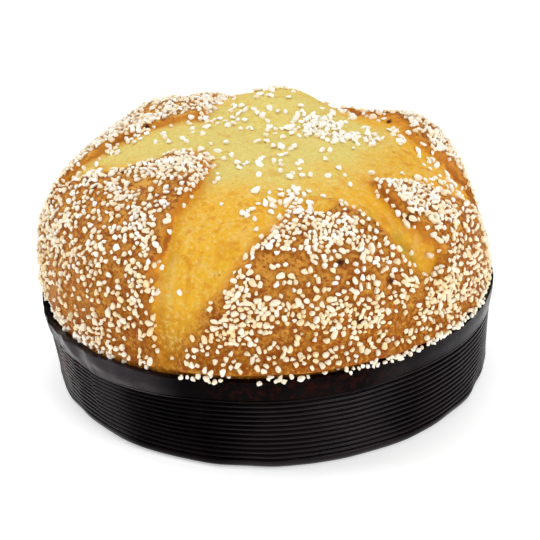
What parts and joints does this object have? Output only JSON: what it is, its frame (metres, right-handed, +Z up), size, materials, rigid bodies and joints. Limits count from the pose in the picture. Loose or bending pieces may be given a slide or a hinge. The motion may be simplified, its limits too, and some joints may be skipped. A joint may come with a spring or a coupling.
{
  "type": "brioche",
  "caption": "Round domed brioche with a star-slashed crust under pearl sugar, baked in a low fluted paper case that it stands in.",
  "frame": {"origin": "centre of the paper case's underside, on the surface it stands on", "axes": "+Z up through the crown, -Y towards the front of the loaf, +X to the right seen from the front"},
  "size_m": [0.2117, 0.2126, 0.1201],
  "materials": {
    "crust": "egg-washed baked crust, golden brown on the flaps and pale yellow in the opened slashes",
    "case_paper": "dark brown greaseproof paper with a soft sheen",
    "base_paper": "dark brown paper board, matt",
    "sugar": "opaque white pressed sugar, slightly glossy"
  },
  "bodies": {
    "root": {"loaf": "crust", "case_fluted_wall": "case_paper", "case_liner": "case_paper", "case_base": "base_paper", "sugar_nib_01": "sugar", "sugar_nib_02": "sugar", "sugar_nib_03": "sugar", "sugar_nib_04": "sugar", "sugar_nib_05": "sugar", "sugar_nib_06": "sugar", "sugar_nib_07": "sugar", "sugar_nib_08": "sugar", "sugar_nib_09": "sugar", "sugar_nib_10": "sugar", "sugar_nib_11": "sugar", "sugar_nib_12": "sugar", "sugar_nib_13": "sugar", "sugar_nib_14": "sugar", "sugar_nib_15": "sugar", "sugar_nib_16": "sugar", "sugar_nib_17": "sugar", "sugar_nib_18": "sugar", "sugar_nib_19": "sugar", "sugar_nib_20": "sugar", "sugar_nib_21": "sugar", "sugar_nib_22": "sugar", "sugar_nib_23": "sugar", "sugar_nib_24": "sugar", "sugar_nib_25": "sugar", "sugar_nib_26": "sugar", "sugar_nib_27": "sugar", "sugar_nib_28": "sugar", "sugar_nib_29": "sugar", "sugar_nib_30": "sugar", "sugar_nib_31": "sugar", "sugar_nib_32": "sugar", "sugar_nib_33": "sugar", "sugar_nib_34": "sugar", "sugar_nib_35": "sugar", "sugar_nib_36": "sugar", "sugar_nib_37": "sugar", "sugar_nib_38": "sugar", "sugar_nib_39": "sugar", "sugar_nib_40": "sugar", "sugar_nib_41": "sugar", "sugar_nib_42": "sugar", "sugar_nib_43": "sugar", "sugar_nib_44": "sugar", "sugar_nib_45": "sugar", "sugar_nib_46": "sugar", "sugar_nib_47": "sugar", "sugar_nib_48": "sugar", "sugar_nib_49": "sugar", "sugar_nib_50": "sugar", "sugar_nib_51": "sugar", "sugar_nib_52": "sugar", "sugar_nib_53": "sugar", "sugar_nib_54": "sugar"}
  },
  "joints": []
}
